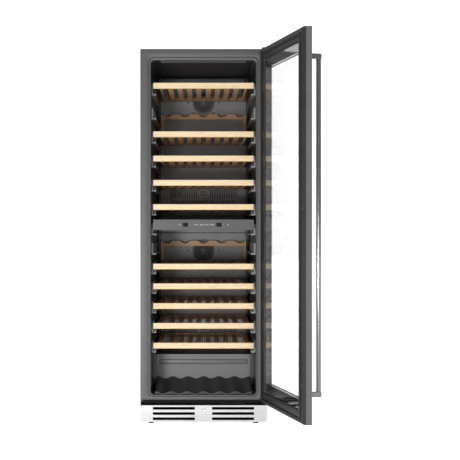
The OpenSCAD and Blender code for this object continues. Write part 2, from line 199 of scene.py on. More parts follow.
def clear_glass():
    """Clear glass that bends light little, for the panes."""
    material, shader = new_material("clear_glass", 0.02, IOR=1.2)
    shader.inputs["Transmission Weight"].default_value = 1.0
    smear = noise(material, EVEN, 6.0)
    tint(material, shader, smear, (0.98, 0.985, 0.982), (0.992, 0.995, 0.993))
    return material


def glossy(name, colour, rough=0.08, index=1.5):
    """A smooth, shiny dark surface."""
    material, shader = new_material(name, rough, IOR=index)
    smear = noise(material, EVEN, 14.0)
    tint(material, shader, smear, shade(colour, 0.85), shade(colour, 1.2))
    link(material, spread(material, smear, rough, rough + 0.05), shader.inputs["Roughness"])
    return material


X, Y, Z = 0, 1, 2
BEECH = ((0.93, 0.72, 0.45), (0.74, 0.49, 0.26))
RACK = ((0.54, 0.33, 0.18), (0.34, 0.18, 0.09))
SLAT = ((0.7, 0.45, 0.25), (0.46, 0.26, 0.12))

MATERIALS = {
    "shell_paint": moulded("shell_paint", (0.085, 0.085, 0.086), 0.42, 900.0, 0.03),
    "rear_sheet": moulded("rear_sheet", (0.16, 0.16, 0.165), 0.4, 500.0, 0.03),
    "black_steel": moulded("black_steel", (0.008, 0.008, 0.009), 0.45, 600.0, 0.04, shine=0.08),
    "frame_paint": moulded("frame_paint", (0.098, 0.098, 0.1), 0.42, 900.0, 0.03, 0.04),
    "liner_plastic": moulded("liner_plastic", (0.04, 0.04, 0.041), 0.38, 500.0, 0.04),
    "foam": moulded("foam", (0.75, 0.62, 0.36), 0.9, 300.0, 0.3),
    "stainless": brushed("stainless", (0.52, 0.52, 0.516), X),
    "handle_steel": brushed("handle_steel", (0.3, 0.292, 0.28), Z, 0.22, 0.0),
    "chrome_trim": brushed("chrome_trim", (0.72, 0.72, 0.72), X, 0.14),
    "foot_plastic": moulded("foot_plastic", (0.02, 0.02, 0.02), 0.55),
    "panel_plastic": moulded("panel_plastic", (0.07, 0.07, 0.072), 0.36, 900.0, 0.02),
    "dark_lens": glossy("dark_lens", (0.006, 0.006, 0.007)),
    "circuit_board": moulded("circuit_board", (0.02, 0.13, 0.05), 0.4),
    "duct_plastic": moulded("duct_plastic", (0.21, 0.21, 0.212), 0.42, 500.0, 0.04),
    "fan_plastic": moulded("fan_plastic", (0.075, 0.075, 0.076), 0.5),
    "aluminium_fin": brushed("aluminium_fin", (0.75, 0.75, 0.76), Z, 0.35),
    "copper_pipe": brushed("copper_pipe", (0.78, 0.42, 0.27), Z, 0.3),
    "tray_plastic": moulded("tray_plastic", (0.03, 0.03, 0.031), 0.45, 300.0, 0.08),
    "light_diffuser": moulded("light_diffuser", (0.07, 0.07, 0.072), 0.5),
    "rail_metal": moulded("rail_metal", (0.33, 0.33, 0.332), 0.38, 700.0, 0.03),
    "slide_steel": moulded("slide_steel", (0.016, 0.016, 0.017), 0.33, 500.0, 0.03),
    "rack_wood": wood("rack_wood", *RACK, X),
    "beech": wood("beech", *BEECH, X),
    "door_plastic": moulded("door_plastic", (0.03, 0.03, 0.031), 0.36, 700.0, 0.03),
    "clear_glass": clear_glass(),
    "glass_border": glossy("glass_border", (0.035, 0.034, 0.033), 0.06, 1.75),
    "gasket_rubber": moulded("gasket_rubber", (0.017, 0.017, 0.018), 0.6, 400.0, 0.06),
}
DOOR_EDGE = moulded("door_edge", (0.15, 0.15, 0.152), 0.4, 900.0, 0.03, 0.04)
SLAT_WOOD = wood("beech_slat", *SLAT, Y)
# Beech painted much darker than the trims' for the rear rails: painted shade at the back of the shelves.
SHADED_REAR_WOOD = wood("beech_rear_painted_shade", (0.2, 0.12, 0.065), (0.13, 0.07, 0.035), X)
POST_WOOD = wood("rack_post", *RACK, Z)
PRINT_WHITE = moulded("print_white", (0.8, 0.8, 0.78), 0.5, 900.0, 0.01)
# Black for the fan stays, and painted shadow for the dark ring in the bay cover's groove.
STAY_BLACK_AND_GROOVE_SHADE = moulded("stay_black_and_groove_shade", (0.022, 0.022, 0.023), 0.5, 600.0, 0.03)


# ---------------------------------------------------------------- mesh builder

HINGE = Vector(JOINTS["door_hinge"]["pos_m"]) / MM
DOOR_OPEN = math.radians(-JOINTS["door_hinge"]["range_deg"][0])
SWING = (Matrix.Translation(HINGE) @ Matrix.Rotation(DOOR_OPEN, 4, "Z")
         @ Matrix.Translation(-HINGE))
BEVEL_FROM = math.radians(40)
SHARP_BEVELLED = 75


def arc(centre, radius, start, end, steps):
    """Points on an arc in a plane, both ends included; the angles are in degrees."""
    points = []
    for i in range(steps + 1):
        a = math.radians(start + (end - start) * i / steps)
        points.append((centre[0] + radius * math.cos(a), centre[1] + radius * math.sin(a)))
    return points


def outline(half, z0, z1, r, y, steps=6):
    """A loop round a rectangle that is centred across, with round corners, at depth y."""
    corners = ((half - r, z1 - r, 0), (-half + r, z1 - r, 90), (-half + r, z0 + r, 180),
               (half - r, z0 + r, 270))
    return [(x, y, z) for cx, cz, start in corners
            for x, z in arc((cx, cz), r, start, start + 90, steps)]


def inset_loop(rectangle, inset, r, y):
    """A loop drawn in by the same amount all round from a rectangle (half width, bottom, top)."""
    half, z0, z1 = rectangle
    return outline(half - inset, z0 + inset, z1 - inset, r, y)


def circle(centre, radius, axis, count=32, turn=0.0):
    """A loop round a point, square to the axis X, Y or Z."""
    first, second = {X: (Y, Z), Y: (Z, X), Z: (X, Y)}[axis]
    loop = []
    for i in range(count):
        a = math.tau * i / count + turn
        point = list(centre)
        point[first] += radius * math.cos(a)
        point[second] += radius * math.sin(a)
        loop.append(tuple(point))
    return loop


class Shape:
    """Collects closed bodies made of loops, and turns them into one Blender object."""

    def __init__(self):
        self.verts, self.faces = [], []

    def sweep(self, loops, ring=False):
        """Joins loops of equal length; a ring closes on its first loop, else the ends are capped."""
        start, count = len(self.verts), len(loops[0])
        for loop in loops:
            self.verts.extend(loop)
        rows = len(loops)
        for row in range(rows if ring else rows - 1):
            a, b = start + row * count, start + (row + 1) % rows * count
            for i in range(count):
                j = (i + 1) % count
                self.faces.append((a + i, a + j, b + j, b + i))
        if not ring:
            self.faces.append(tuple(range(start, start + count))[::-1])
            last = start + (rows - 1) * count
            self.faces.append(tuple(range(last, last + count)))
        return self

    def box(self, x, y, z):
        """A block; x, y and z are each (low, high)."""
        return self.sweep([[(x[0], h, z[0]), (x[1], h, z[0]), (x[1], h, z[1]), (x[0], h, z[1])]
                           for h in y])

    def rod(self, centre, span, radius, axis, count=32, edge=0.4):
        """A round bar with eased ends."""
        stations = ((span[0], radius - edge), (span[0] + edge, radius),
                    (span[1] - edge, radius), (span[1], radius - edge))
        return self.lathe(centre, axis, stations, count)

    def lathe(self, centre, axis, stations, count=32, ring=False, turn=0.0):
        """Turns a profile of (place along the axis, radius) about the axis."""
        loops = []
        for place, radius in stations:
            point = list(centre)
            point[axis] = place
            loops.append(circle(point, radius, axis, count, turn))
        return self.sweep(loops, ring)

    def torus(self, centre, radius, wire, axis, count, sides):
        """A ring of round wire."""
        stations = []
        for i in range(sides):
            a = math.tau * i / sides
            stations.append((centre[axis] + wire * math.sin(a), radius + wire * math.cos(a)))
        return self.lathe(centre, axis, stations, count, ring=True)

    def disc(self, centre, span, radius, axis, count=20):
        return self.lathe(centre, axis, [(place, radius) for place in span], count)

    def flat_ring(self, centre, span, outer, inner, axis, count=24):
        stations = [(span[0], outer), (span[1], outer), (span[1], inner), (span[0], inner)]
        return self.lathe(centre, axis, stations, count, ring=True)

    def screw(self, centre, axis, away, radius=3.2):
        """A low pan head; away is +1 or -1, the way the head stands out."""
        place = centre[axis]
        stations = [(place + away * h, radius * r) for h, r in
                    ((-0.4, 1.0), (0.5, 1.0), (1.1, 0.86), (1.5, 0.55), (1.2, 0.42), (0.7, 0.3))]
        return self.lathe(centre, axis, stations, 20)

    def mirrored(self):
        """Adds a copy on the other side of the middle plane."""
        start = len(self.verts)
        self.verts.extend([(-x, y, z) for x, y, z in self.verts])
        self.faces.extend([tuple(start + i for i in reversed(f)) for f in self.faces])
        return self

    def turned(self, centre, axis, degrees, begin):
        """Turns the vertices from number begin on about an axis through centre."""
        turn = (Matrix.Translation(centre) @ Matrix.Rotation(math.radians(degrees), 4, "XYZ"[axis])
                @ Matrix.Translation(-Vector(centre)))
        for i in range(begin, len(self.verts)):
            self.verts[i] = tuple(turn @ Vector(self.verts[i]))
        return self

    def piece(self, name, body, slot, material=None, replaces=(), swung=False, bevel=0.0,
              segments=2, smooth=32):
        """Makes the object, lets it ride on a body and gives it its material.

        A swung piece is turned from shut to the open door's place. Edges sharper than smooth,
        in degrees, stay sharp.
        """
        place = SWING if swung else Matrix.Identity(4)
        mesh = bpy.data.meshes.new(name)
        mesh.from_pydata([(place @ Vector(v)) * MM for v in self.verts], [], self.faces)
        mesh.materials.append(material or MATERIALS[slot])
        made = bpy.data.objects.new(name, mesh)
        bpy.context.scene.collection.objects.link(made)
        outward(mesh)
        if bevel:
            modifier = made.modifiers.new("edges", "BEVEL")
            modifier.width = bevel * MM
            modifier.segments = segments
            modifier.limit_method = "ANGLE"
            modifier.angle_limit = BEVEL_FROM
            modifier.harden_normals = True
        mesh.shade_smooth()
        mesh.set_sharp_from_angle(angle=math.radians(SHARP_BEVELLED if bevel else smooth))
        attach(made, body)
        if replaces:
            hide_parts(*replaces)
        return made


def outward(mesh):
    """Turns every face of a mesh outwards."""
    work = bmesh.new()
    work.from_mesh(mesh)
    bmesh.ops.recalc_face_normals(work, faces=work.faces)
    work.to_mesh(mesh)
    work.free()


def dress(*names):
    """Gives CAD nodes that stay visible the material of their slot."""
    for name in names:
        NODES[name].data.materials.clear()
        NODES[name].data.materials.append(MATERIALS[SLOT_OF[name]])


# ---------------------------------------------------------------- the cabinet

FRAME_HIGH = box_mm("front_frame")[1]
HALF = FRAME_HIGH.x
TOP = FRAME_HIGH.z
FRAME_BACK = FRAME_HIGH.y
LINER_LOW, LINER_HIGH = box_mm("liner")
WALL = 3.0
# The cavity's half width, floor and ceiling.
CAVITY = LINER_HIGH.x - WALL
FLOOR = LINER_LOW.z + WALL
CEILING = LINER_HIGH.z - WALL
LINER_R = 18.0
# The front frame's lower edge, and the width of its flat face.
SILL = 117.0
RAIL = 37.0


def shell():
    """The folded sheet over the sides and the top, with its screws."""
    low, high = box_mm("outer_shell")
    sheet, r = 1.2, 2.5
    path = [(HALF, low.z)] + arc((HALF - r, TOP - r), r, 0, 90, 5)
    path += [(-x, z) for x, z in reversed(path)]
    inside = [(math.copysign(abs(x) - sheet, x), z if z == low.z else z - sheet) for x, z in path]
    section = path + inside[::-1]
    shape = Shape().sweep([[(x, y, z) for x, z in section] for y in (low.y, high.y)])
    shape.piece("outer_wrap", "cabinet", "shell_paint", replaces=["outer_shell"], bevel=0.3)
    screws = Shape()
    top_inset, side_inset = 60, 20
    for x in (-250, 250):
        for y in (low.y + top_inset, high.y - top_inset):
            screws.screw((x, y, TOP), Z, 1, 3.4)
    for z in (60, 900, 1700):
        screws.screw((HALF, high.y - side_inset, z), X, 1, 3.0)
    screws.piece("shell_screws", "cabinet", "black_steel")


def front_frame():
    """The frame's flat face, a groove, and a rounded lip that leads into the liner.

    Here and below, a row is (half width, bottom, top, corner radius, depth).
    """
    face_in, lip = HALF - RAIL, CAVITY
    depth = FRAME_BACK
    rows = [
        (HALF, SILL, TOP, 0.8, depth), (HALF, SILL, TOP, 0.8, 1.2),
        (HALF - 0.5, SILL + 0.5, TOP - 0.5, 0.8, 0.3), (HALF - 1.3, SILL + 1.3, TOP - 1.3, 0.8, 0),
        (face_in + 1.4, 130.6, 1729.4, 27, 0), (face_in + 0.4, 131.6, 1728.4, 26.2, 0.4),
        (face_in, 132, 1728, 26, 1.4), (face_in - 0.3, 132.3, 1727.6, 25.7, 6.5),
        (face_in - 4.6, 134.8, 1723.4, 23, 6.5), (face_in - 5.0, 135.2, 1723, 22.8, 3.6),
        (face_in - 6.2, 136, 1721.8, 22, 2.6), (face_in - 9.5, 138, 1717.6, 20.5, 2.8),
        (lip + 1.8, 139.8, 1713.9, 19, 4.8), (lip + 0.4, 140.8, 1712.4, 18.2, 8.0),
        (lip, FLOOR, CEILING, LINER_R, depth),
    ]
    shape = Shape().sweep([outline(*row, steps=10) for row in rows], ring=True)
    tail_w, tail_end = 11.5, 110
    for side in (-1, 1):
        x = sorted((side * (HALF - tail_w), side * (HALF - 0.01)))
        shape.box(x, (0.3, depth), (tail_end, SILL))
    shape.piece("frame_moulding", "cabinet", "frame_paint", replaces=["front_frame"])


def liner():
    """The tub: a step over the machine bay, a coved back wall and a pocket behind the ducts."""
    pocket = LINER_HIGH.y - WALL
    back = pocket - 30
    duct = (311, 1693)
    out, out_r = CAVITY + WALL, 20
    front, top = 281.0, 300.0
    under, riser = top - 1.2, front + 1.2
    rows = [
        (218, duct[0] - 3, duct[1] + 3, 8, pocket + WALL),
        (218, duct[0] - 3, duct[1] + 3, 8, back + WALL),
        (out, top - WALL, LINER_HIGH.z, out_r, back + WALL),
        (out, top - WALL, LINER_HIGH.z, out_r, front + WALL),
        (out, LINER_LOW.z, LINER_HIGH.z, out_r, front + WALL),
        (out, LINER_LOW.z, LINER_HIGH.z, out_r, FRAME_BACK),
        (CAVITY, FLOOR, CEILING, LINER_R, FRAME_BACK),
        (CAVITY, FLOOR, CEILING, LINER_R, riser),
        (CAVITY, under, CEILING, LINER_R, riser),
    ]
    fillet = 16
    for i in range(7):
        a = math.radians(90 * i / 6)
        move = 1.8 + fillet * (1 - math.cos(a))
        rows.append((CAVITY - move, under + 0.4 * move, CEILING - move, LINER_R,
                     back - fillet + fillet * math.sin(a)))
    rows += [(217, duct[0] - 1, duct[1] + 1, 8, back), (215, duct[0], duct[1], 8, back + 2),
             (215, duct[0], duct[1], 8, pocket)]
    shape = Shape().sweep([outline(*row) for row in rows])
    shape.piece("liner_moulding", "cabinet", "liner_plastic", replaces=["liner"], smooth=40)
    bay_step(front, top, back)
    moulding(back)


def bay_step(front, top, back):
    """The step's visible sheet, with a rounded upper edge."""
    r, thin = 7.0, 2.4
    centre = (front + r, top - r)
    section = [(front, FLOOR - 1)] + arc(centre, r, 180, 90, 6) + [(back, top), (back, top - thin)]
    section += arc(centre, r - thin, 90, 180, 6) + [(front + thin, FLOOR - 1)]
    step = Shape().sweep([[(x, y, z) for y, z in section] for x in (-CAVITY - 1, CAVITY + 1)])
    step.piece("liner_step", "cabinet", "liner_plastic", smooth=40)


def moulding(back):
    """The raised edge round the duct panels and the upright ribs on the side walls."""
    around = (233, 306, 1707)
    steps = [(0, 24, 0.5), (0, 24, -3.6), (0.8, 23.4, -4.4), (2.8, 21.6, -4.4), (3.6, 21, -3.6),
             (3.6, 21, 0.5)]
    edge = Shape().sweep([inset_loop(around, inset, r, back + y) for inset, r, y in steps], ring=True)
    edge.piece("duct_surround", "cabinet", "duct_plastic", smooth=50)
    ribs, rib_w = Shape(), 7
    for y in (498, 522):
        for zone in ((312, 905), (985, 1690)):
            ribs.box((CAVITY - 4.2, CAVITY - 0.4), (y, y + rib_w), zone)
    ribs.mirrored().piece("wall_ribs", "cabinet", "liner_plastic", bevel=1.6, segments=3)


def rear():
    """Pressed stiffeners and screws on the back panel, which keeps its CAD shape."""
    depth = box_mm("back_panel")[1].y
    dress("back_panel", "base_plate")
    ribs, screws = Shape(), Shape()
    for x in (-180, 0, 180):
        loops = [outline(60, 330, 1640, 40, depth - 0.9), outline(60, 330, 1640, 40, depth - 0.6),
                 outline(55, 335, 1635, 36, depth - 0.05), outline(48, 342, 1628, 30, depth - 0.02)]
        ribs.sweep([[(px + x, py, pz) for px, py, pz in loop] for loop in loops])
    ribs.piece("rear_ribs", "cabinet", "rear_sheet")
    places = [(x, z) for x in (-284, 284) for z in (30, 250, 600, 950, 1300, 1650, 1752)]
    places += [(x, z) for z in (1752, 250) for x in (-140, 140)]
    for x, z in places:
        screws.screw((x, depth - 1.3, z), Y, 1)
    screws.piece("rear_screws", "cabinet", "chrome_trim")


def grille():
    """The kick grille's sheet with six slots and the lock's hole, its top, and the lock's rim."""
    low, high = box_mm("kick_grille")
    sheet = 1.2
    slot_x, slot_half, slot_rise, slot_zs = 138.3, 98.0, 6, (32.5, 56.8, 81.1)
    lock_x, lock_z, lock_hole = 0.0, 78.0, 7.9
    xs = sorted([-HALF, HALF, lock_x - lock_hole, lock_x + lock_hole]
                + [side * slot_x + end for side in (-1, 1) for end in (-slot_half, slot_half)])
    zs = sorted([low.z, high.z, lock_z - lock_hole, lock_z + lock_hole]
                + [z + end for z in slot_zs for end in (-slot_rise, slot_rise)])

    def open_at(x, z):
        in_rows = any(abs(z - middle) < slot_rise for middle in slot_zs)
        in_slot = abs(abs(x) - slot_x) < slot_half and in_rows
        return in_slot or max(abs(x - lock_x), abs(z - lock_z)) < lock_hole

    holes = {(i, j) for i in range(len(xs) - 1) for j in range(len(zs) - 1)
             if open_at((xs[i] + xs[i + 1]) / 2, (zs[j] + zs[j + 1]) / 2)}
    shape = pierced(xs, zs, holes, low.y, low.y + sheet)
    back = high.y
    for side in (-1, 1):
        x = sorted((side * HALF, side * (HALF - sheet)))
        shape.box(x, (low.y + sheet, back), (low.z, high.z))
    shape.piece("grille_face", "cabinet", "stainless", replaces=["kick_grille"], bevel=0.45)
    gap, slab = (-9, 38), (high.z - sheet, high.z)
    cover = Shape().box((-HALF + sheet, gap[0]), (low.y + sheet, back), slab)
    cover.box((gap[1], HALF - sheet), (low.y + sheet, back), slab)
    cover.box(gap, (-15, back), slab)
    cover.box(gap, (low.y + sheet, -20.5), slab)
    cover.piece("grille_top", "cabinet", "stainless")
    rim = Shape().lathe((lock_x, 0, lock_z), Y,
                        [(-20.4, 9.5), (-24, 9.5), (-24, 11.1), (-24.6, 11.5), (-25.3, 11.2),
                         (-25.5, 10.6), (-25.4, 8.2), (-24.8, 7.2), (-20.4, 7.1)], 48, ring=True)
    rim.piece("lock_rim", "cabinet", "chrome_trim", replaces=["lock_barrel"])
    dress("lock_plug")


def pierced(xs, zs, holes, y0, y1):
    """A plate on a grid of cells, with some cells left open."""
    shape = Shape()
    across, up = len(xs) - 1, len(zs) - 1
    number = {}
    for layer, y in enumerate((y0, y1)):
        for j, z in enumerate(zs):
            for i, x in enumerate(xs):
                number[layer, i, j] = len(shape.verts)
                shape.verts.append((x, y, z))
    solid = {(i, j) for i in range(across) for j in range(up)} - set(holes)
    for i, j in solid:
        ring = [(i, j), (i + 1, j), (i + 1, j + 1), (i, j + 1)]
        shape.faces.append(tuple(number[(0, *c)] for c in ring))
        shape.faces.append(tuple(number[(1, *c)] for c in reversed(ring)))
        sides = (((i, j - 1), ring[0], ring[1]), ((i + 1, j), ring[1], ring[2]),
                 ((i, j + 1), ring[2], ring[3]), ((i - 1, j), ring[3], ring[0]))
        for beside, a, b in sides:
            if beside not in solid:
                shape.faces.append((number[(0, *a)], number[(1, *a)], number[(1, *b)], number[(0, *b)]))
    return shape


def feet():
    """Each foot: a pad, a hexagon nut and a threaded stem."""
    low, high = box_mm("levelling_feet")
    r = 13.5
    pad = [(0, r - 1.5), (0.8, r - 0.3), (2, r), (6, r), (7.5, r - 1), (8, r - 2.5)]
    nut = [(7.9, 8.4), (8.3, 9), (11.6, 9), (12, 8.4)]
    thread = [(12 + i, 5 if i % 2 else 4.4) for i in range(22)]
    shape = Shape()
    for x in (low.x + r, high.x - r):
        for y in (low.y + r, high.y - r):
            for stations, count in ((pad, 32), (nut, 6), (thread, 20)):
                shape.lathe((x, y, 0), Z, stations, count)
    shape.piece("threaded_feet", "cabinet", "foot_plastic", replaces=["levelling_feet"])


def hinges():
    """Each hinge: a plate that is round about the pin, and the pin."""
    x1, r = HALF - 1.7, 11.9
    x0 = HINGE.x - r
    for name, plate, pin, back in (("top_hinge", (TOP, TOP + 2.4), (TOP - 22, TOP + 4), 60),
                                   ("bottom_hinge", (98, 102), (98, 127), 19.9)):
        edge = [(x1, back), (x0, back)] + arc(HINGE, r, 180, 360, 12)
        shape = Shape().sweep([[(x, y, z) for x, y in edge] for z in plate])
        if name == "bottom_hinge":
            shape.box((x0 - 6, x1), (16, 19.9), (102, 109))
        shape.piece(name + "_plate", "cabinet", "black_steel", replaces=[name], bevel=0.8)
        parts = Shape().rod((HINGE.x, HINGE.y, 0), pin, 4.9, Z, 24, 0.8)
        if name == "top_hinge":
            for y in (12, 44):
                parts.screw((HINGE.x, y, plate[1]), Z, 1, 5.0)
        parts.piece(name + "_pin", "cabinet", "chrome_trim")


# ---------------------------------------------------------------- the cavity's fittings

def rails():
    """The support rails: at each level a leg on the side wall, with a foot turned inwards."""
    low, high = box_mm("support_rails")
    shape = Shape()
    for z in level_heights():
        foot, leg = (z - 39.2, z - 31.6), z + 15.8
        section = [(226, foot[0]), (246.9, foot[0]), (246.9, leg), (240.4, leg), (240.4, foot[1]),
                   (226, foot[1])]
        shape.sweep([[(x, y, h) for x, h in section] for y in (low.y, high.y)])
    shape.mirrored()
    shape.piece("rail_profiles", "cabinet", "rail_metal", replaces=["support_rails"], bevel=0.9)


def level_heights():
    """The heights of all shelf levels, from the shelves' own: the pitch in each zone is even."""
    upper, lower = shelf_height(5), shelf_height(10)
    step_up = shelf_height(4) - upper
    step_low = shelf_height(9) - lower
    return [upper + i * step_up for i in range(6)] + [lower + i * step_low for i in range(7)]


def shelf_height(n):
    """The middle height of shelf n, counted from the top."""
    low, high = box_mm(f"shelf_{n}")
    return (low.z + high.z) / 2


def divider():
    """The bar between the two zones, narrower at the front, and its flange on the back wall."""
    low, high = box_mm("zone_divider")
    nose = box_mm("control_panel")[1].x
    shape = Shape().box((-nose, nose), (low.y, low.y + 90), (917, 961))
    shape.box((low.x, high.x), (low.y + 80, high.y - 2.5), (917.2, 960.8))
    shape.piece("divider_body", "cabinet", "liner_plastic", replaces=["zone_divider"], bevel=2.5,
                segments=3)
    flange = Shape().box((-222, 222), (540, 547.4), (900, 980))
    flange.piece("divider_flange", "cabinet", "duct_plastic", bevel=1.5, segments=3)


def controls():
    """The control panel's face with two windows, each filled by a dark lens."""
    low, high = box_mm("control_panel")
    y, thick, gap = low.y, 2.4, 0.1
    windows = ((-96.5, -71.5), (60.5, 85.5))
    z0, z1 = 930, 948
    xs = [low.x, *windows[0], *windows[1], high.x]
    shape = pierced(xs, [low.z, z0, z1, high.z], {(1, 1), (3, 1)}, y, y + thick)
    for z in ((low.z, low.z + 2), (high.z - 2, high.z)):
        shape.box((low.x, high.x), (y + thick, high.y), z)
    shape.piece("fascia", "cabinet", "panel_plastic", replaces=["control_panel"], bevel=0.6)
    lens = Shape()
    for x0, x1 in windows:
        lens.box((x0 + gap, x1 - gap), (y + 0.5, y + thick), (z0 + gap, z1 - gap))
    lens.piece("display_lenses", "cabinet", "dark_lens", replaces=["display_windows"], bevel=0.4)
    keys()
    dress("control_board")


def keys():
    """Printed touch marks: plain dots, rings, arrows and bars, with no letters."""
    mark = Shape()
    face = box_mm("control_panel")[0].y
    depth = (face - 0.12, face + 0.3)
    z = 939.0
    for x in (-38.5, -14.0, 11.0, 37.0):
        mark.disc((x, 0, z), depth, 2.4, Y)
    for x in (-29.0, 46.5):
        tip = 3.2 if x < 0 else -3.2
        mark.sweep([[(x - 3, y, z - tip / 2), (x + 3, y, z - tip / 2), (x, y, z + tip / 2 + tip / 4)]
                    for y in depth])
    for x in (-4.5, 20.5):
        mark.flat_ring((x, 0, z), depth, 3.0, 2.1, Y)
    for x in (-113.0, 115.0):
        mark.flat_ring((x, 0, z), depth, 3.4, 2.5, Y)
        mark.box((x - 0.5, x + 0.5), depth, (z, z + 4.2))
    for x in (-63.0, 92.0):
        for h in (-4.0, 0.0, 4.0):
            mark.disc((x, 0, z + h), depth, 0.9, Y, 12)
    mark.piece("touch_marks", "cabinet", "panel_plastic", material=PRINT_WHITE)


def ducts():
    """Rims and screws on the duct panels, and a wire guard over each fan."""
    dress("duct_panel_upper", "duct_panel_lower", "evaporators", "fan_frames",
          "fan_rotor_upper", "fan_rotor_lower")
    rims, plugs = Shape(), Shape()
    rim_steps = ((0, 0.5), (0, -0.8), (0.8, -1.6), (3.2, -1.6), (4, -0.8), (4.2, 0.5))
    for name, r in (("duct_panel_upper", 28.0), ("duct_panel_lower", 8.0)):
        low, high = box_mm(name)
        rims.sweep([inset_loop((high.x, low.z, high.z), inset, r - inset, low.y + y)
                    for inset, y in rim_steps], ring=True)
    for fan in ("upper", "lower"):
        low, high = box_mm("fan_rotor_" + fan)
        x, z, face = (low.x + high.x) / 2, (low.z + high.z) / 2, box_mm("duct_panel_" + fan)[0].y
        fan_guard(fan, x, z, face)
        for dx in (-52.5, 52.5):
            for dz in (-52.5, 52.5):
                plugs.screw((x + dx, face, z + dz), Y, -1)
        for dx in (-79.5, 79.5):
            plugs.screw((x + dx, face, z), Y, -1, 3.6)
    rims.piece("duct_rims", "cabinet", "duct_plastic", smooth=40)
    plugs.piece("duct_screws", "cabinet", "black_steel")


def fan_guard(fan, x, z, face):
    """Ten rings of wire round a domed middle, two crossed stays and a small boss."""
    guard = Shape()
    for ring in range(10):
        guard.torus((x, face - 1.3, z), 13 + 4.1 * ring, 1.25, Y, 48, 6)
    dome = [(face - 2.4, 4), (face - 2.0, 8), (face - 1.2, 11), (face - 0.2, 11.2)]
    guard.lathe((x, 0, z), Y, dome)
    guard.piece(f"fan_guard_{fan}", "cabinet", "fan_plastic")
    stays, reach = Shape(), 54
    for turn in (45, 135):
        begin = len(stays.verts)
        stays.box((x - reach, x + reach), (face - 3.1, face - 0.4), (z - 1.1, z + 1.1))
        stays.turned((x, face, z), Y, turn, begin)
    stays.piece(f"fan_stays_{fan}", "cabinet", "fan_plastic", material=STAY_BLACK_AND_GROOVE_SHADE)
    boss = Shape().lathe((x, 0, z), Y, [(face - 3.6, 1.6), (face - 3.3, 2.6), (face - 2.2, 2.8)], 24)
    boss.piece(f"fan_boss_{fan}", "cabinet", "rail_metal")


def tray():
    """The rippled tray: a hollow for each bottle, running from front to back."""
    high = box_mm("bottle_tray")[1]
    half, pitch, thick, wave = high.x, 76.0, 2.5, 5.5
    slope = math.tan(math.radians(7.2))
    front, back = 12.0, high.y
    front_top, edge_rise = 150.5, 4
    across, along = 168, 6

    def height(x, y):
        fade = min(1.0, (half - abs(x)) / 10)
        ripple = wave * math.cos(math.tau * x / pitch) * fade
        return front_top + slope * (y - 10) + ripple + edge_rise * (1 - fade)

    shape = Shape()
    columns = [-half + i * (2 * half / across) for i in range(across + 1)]
    loops = []
    for y in [front + i * (back - front) / along for i in range(along + 1)]:
        loops.append([(x, y, height(x, y)) for x in columns]
                     + [(x, y, height(x, y) - thick) for x in reversed(columns)])
    shape.sweep(loops)
    face = []
    for y in (24.0, 26.5):
        face.append([(x, y, height(x, y) - 1) for x in columns]
                    + [(x, y, FLOOR + 0.2) for x in reversed(columns)])
    shape.sweep(face)
    lip = [(9.2, -3.4, 2.4), (9.6, -1.2, 2.8), (11.2, -0.1, 2.6), (13.0, 0.0, 2.5)]
    shape.sweep([[(x, y, height(x, 12) + up) for x in columns]
                 + [(x, y, height(x, 12) + up - thin) for x in reversed(columns)] for y, up, thin in lip])
    shape.piece("rippled_tray", "cabinet", "tray_plastic", replaces=["bottle_tray"], smooth=40)


def bay_cover():
    """The cover over the machine bay, with a groove that follows a long rounded rectangle, and a dark ring on the
    groove's floor as painted shadow.
    """
    low, high = box_mm("machine_cover")
    y, deep = low.y, high.y - 0.6
    sheet, panel, panel_r = (high.x, low.z, high.z), (221, 249, 274), 12.4
    loops = [inset_loop(sheet, 0, 2, high.y), inset_loop(sheet, 0, 2, y + 0.8),
             inset_loop(sheet, 0.8, 1.6, y)]
    loops += [inset_loop(panel, inset, panel_r - inset, depth) for inset, depth in
              ((0, y), (0.3, deep), (3.1, deep), (3.4, y + 0.4), (4.4, y))]
    shape = Shape().sweep(loops)
    shape.piece("bay_front", "cabinet", "duct_plastic", replaces=["machine_cover"], smooth=40)
    floor = high.y - 0.7
    # A thin dark ring on the groove's floor: painted shadow along the groove.
    groove = Shape().sweep([inset_loop(panel, inset, panel_r - inset, depth) for inset, depth in
                            ((0.5, floor), (0.5, floor - 0.4), (2.9, floor - 0.4), (2.9, floor))], ring=True)
    groove.piece("bay_groove_painted_shadow", "cabinet", "duct_plastic", material=STAY_BLACK_AND_GROOVE_SHADE)


# ---------------------------------------------------------------- shelves

# The middles of the slats on one side, and their width.
SLAT_XS = (22.9, 67.3, 111.9, 156.7)
SLAT_W = 23.6


def shelf(n):
    """A front trim with end caps, a rear rail, two side slats and the slats between them."""
    body = f"sliding_shelf_{n}"
    low, high = box_mm(f"shelf_{n}")
    z = shelf_height(n)
    front, back = low.y, high.y
    trim_d, rear_d, side, cap, gap = 20.0, 25.0, 221.0, 11.0, 0.1
    middle = (low.x + cap + gap, high.x - cap - gap)
    trim = Shape().box(middle, (front, front + trim_d), (low.z, high.z))
    for x in (low.x, high.x - cap):
        trim.box((x, x + cap), (front, front + trim_d), (low.z, high.z))
    trim.piece(f"shelf_trim_{n}", body, "beech", replaces=[f"shelf_{n}"], bevel=1.0, segments=3)
    rear_rail = Shape().box((-side, side), (back - rear_d, back), (low.z, high.z))
    # The rear rail takes the darker wood, painted shade at the shelf's back.
    rear_rail.piece(f"shelf_rear_{n}", body, "beech", material=SHADED_REAR_WOOD, bevel=1.5, segments=3)
    ends = (front + trim_d + gap, back - rear_d - gap)
    slats = Shape().box((199, side), ends, (z - 12, z + 6))
    for x in SLAT_XS:
        slats.box((x - SLAT_W / 2, x + SLAT_W / 2), ends, (z - 12, z))
    slats.mirrored()
    slats.piece(f"shelf_slats_{n}", body, "beech", material=SLAT_WOOD, bevel=1.4, segments=3)
    dress(f"runners_{n}")


